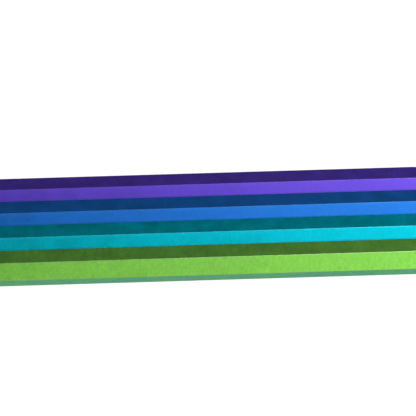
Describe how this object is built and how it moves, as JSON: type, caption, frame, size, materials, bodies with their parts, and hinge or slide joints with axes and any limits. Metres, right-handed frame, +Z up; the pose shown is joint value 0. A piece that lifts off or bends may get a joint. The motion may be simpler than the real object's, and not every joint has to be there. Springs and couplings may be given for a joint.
{
  "type": "double pointed knitting needles",
  "caption": "Straight hexagonal metal knitting needles with a turned, rounded point at both ends, lying side by side on one of their flats.",
  "frame": {"origin": "bottom centre of the set's box: under the middle of the row of needles, on the surface they lie on", "axes": "+X along the needles, +Y across them from the green needle towards the purple one, +Z up"},
  "size_m": [0.2, 0.0212, 0.0045],
  "materials": {
    "purple_anodised": "satin purple anodised aluminium, drawn bar with fine cross marks",
    "blue_anodised": "satin blue anodised aluminium, drawn bar with fine cross marks",
    "turquoise_anodised": "satin turquoise anodised aluminium, drawn bar with fine cross marks",
    "green_anodised": "satin green anodised aluminium, drawn bar with fine cross marks"
  },
  "bodies": {
    "needle_purple": {"needle_purple": "purple_anodised"},
    "needle_blue": {"needle_blue": "blue_anodised"},
    "needle_turquoise": {"needle_turquoise": "turquoise_anodised"},
    "needle_green": {"needle_green": "green_anodised"}
  },
  "joints": [
    {"name": "blue_draw", "type": "slide", "parent": "needle_purple", "child": "needle_blue", "axis": [1, 0, 0], "range_m": [-0.21, 0.21]},
    {"name": "turquoise_draw", "type": "slide", "parent": "needle_purple", "child": "needle_turquoise", "axis": [1, 0, 0], "range_m": [-0.21, 0.21]},
    {"name": "green_draw", "type": "slide", "parent": "needle_purple", "child": "needle_green", "axis": [1, 0, 0], "range_m": [-0.21, 0.21]}
  ]
}
